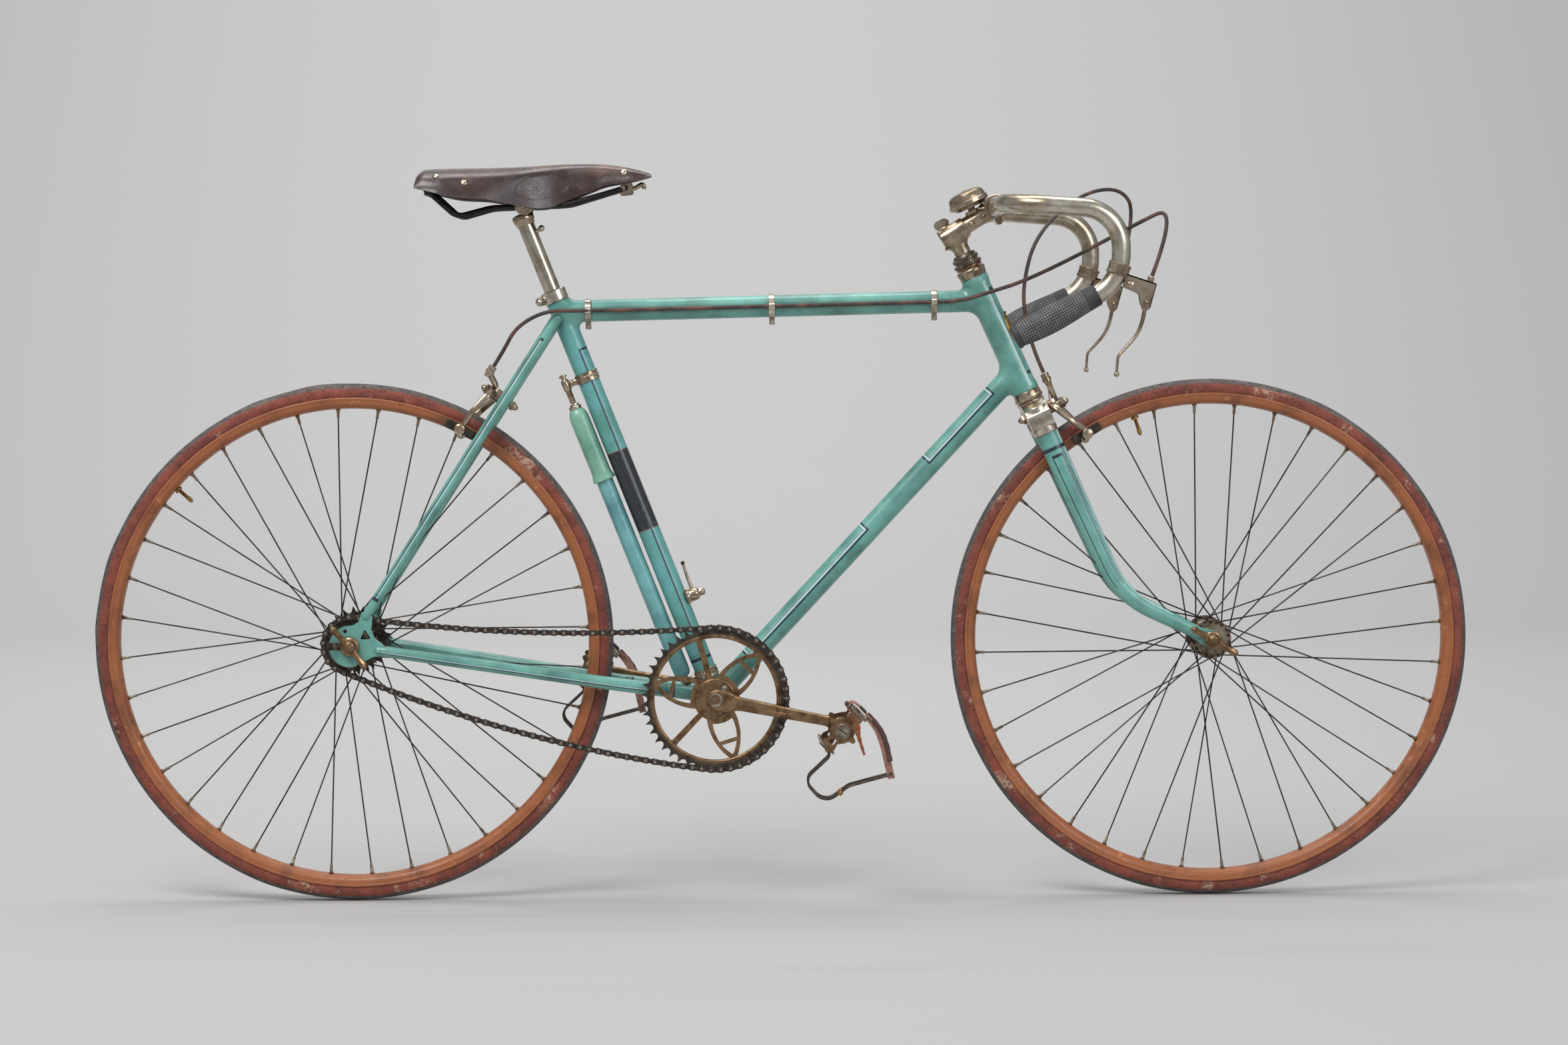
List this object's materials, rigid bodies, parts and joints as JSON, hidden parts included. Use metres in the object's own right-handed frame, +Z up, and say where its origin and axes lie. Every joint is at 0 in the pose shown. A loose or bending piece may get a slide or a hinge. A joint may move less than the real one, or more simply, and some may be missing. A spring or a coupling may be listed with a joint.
{
  "type": "road racing bicycle",
  "caption": "Drop-bar road racing bicycle with brazed steel frame, wooden rims, chain drive, toe clips, leather saddle, caliper brakes and a frame pump.",
  "frame": {"origin": "middle of the saddle's top, where the rider holds it", "axes": "+X forward, +Y to the rider's left, +Z up"},
  "size_m": [1.7999, 0.436, 0.9628],
  "materials": {
    "celeste_paint": "gloss, worn",
    "pump_paint": "gloss, worn",
    "nickel": "tarnished nickel plate",
    "bronze_plate": "tarnished plate, worn to bronze",
    "dark_steel": "oiled and dirty",
    "black_steel": "black enamel",
    "saddle_leather": "worn, polished",
    "strap_leather": "worn",
    "grip_rubber": "moulded",
    "pad_rubber": "moulded",
    "tyre": "red casing, dark tread",
    "rim_wood": "varnished, worn",
    "cable_cover": "cloth covered outer cable"
  },
  "bodies": {
    "frame": {"head_tube": "celeste_paint", "top_tube": "celeste_paint", "down_tube": "celeste_paint", "seat_tube": "celeste_paint", "bottom_bracket_shell": "celeste_paint", "chain_stays": "celeste_paint", "seat_stays": "celeste_paint", "rear_dropouts": "celeste_paint", "seat_collar": "nickel", "seat_post": "nickel", "saddle_leather": "saddle_leather", "saddle_frame": "nickel", "headset_cups": "nickel", "rear_brake": "nickel", "rear_brake_pads": "pad_rubber", "cable_clips": "nickel", "rear_cable_run": "cable_cover", "pump_barrel": "pump_paint", "pump_handle": "pump_paint", "pump_clips": "nickel", "seat_tube_fitting": "nickel", "chain": "dark_steel", "rear_sprocket": "dark_steel", "chainwheel_rim": "bronze_plate", "rear_axle": "nickel"},
    "steering": {"fork_crown": "celeste_paint", "fork_blades": "celeste_paint", "headset_lock_rings": "nickel", "stem": "nickel", "handlebar": "nickel", "grips": "grip_rubber", "brake_levers": "nickel", "bell": "nickel", "front_brake": "nickel", "front_brake_pads": "pad_rubber", "front_cable": "cable_cover", "rear_cable_loop": "cable_cover", "front_axle": "nickel"},
    "front_wheel": {"front_hub": "nickel", "front_spokes": "black_steel", "front_rim": "rim_wood", "front_tyre": "tyre", "front_valve": "nickel"},
    "rear_wheel": {"rear_hub": "nickel", "rear_spokes": "black_steel", "rear_rim": "rim_wood", "rear_tyre": "tyre", "rear_valve": "nickel", "far_sprocket": "dark_steel"},
    "cranks": {"crank_spindle": "nickel", "crank_right": "bronze_plate", "crank_left": "bronze_plate", "chainwheel_spider": "bronze_plate"},
    "pedal_right": {"pedal_right": "nickel", "toe_clip_right": "nickel", "toe_strap_right": "strap_leather"},
    "pedal_left": {"pedal_left": "nickel", "toe_clip_left": "nickel", "toe_strap_left": "strap_leather"}
  },
  "joints": [
    {"name": "steering_turn", "type": "hinge", "parent": "frame", "child": "steering", "pos_m": [0.64574, 0, -0.29589], "axis": [-0.4131, 0, 0.9107], "range_deg": [-60, 60], "deforming": ["rear_cable_loop"]},
    {"name": "front_wheel_spin", "type": "hinge", "parent": "steering", "child": "front_wheel", "pos_m": [0.885, 0, -0.62], "axis": [0, 1, 0], "continuous": true},
    {"name": "rear_wheel_spin", "type": "hinge", "parent": "frame", "child": "rear_wheel", "pos_m": [-0.235, 0, -0.62], "axis": [0, 1, 0], "continuous": true},
    {"name": "crank_spin", "type": "hinge", "parent": "frame", "child": "cranks", "pos_m": [0.2374, 0, -0.693], "axis": [0, 1, 0], "continuous": true},
    {"name": "pedal_right_spin", "type": "hinge", "parent": "cranks", "child": "pedal_right", "pos_m": [0.39964, 0, -0.72307], "axis": [0, 1, 0], "continuous": true},
    {"name": "pedal_left_spin", "type": "hinge", "parent": "cranks", "child": "pedal_left", "pos_m": [0.07516, 0, -0.66293], "axis": [0, 1, 0], "continuous": true}
  ]
}
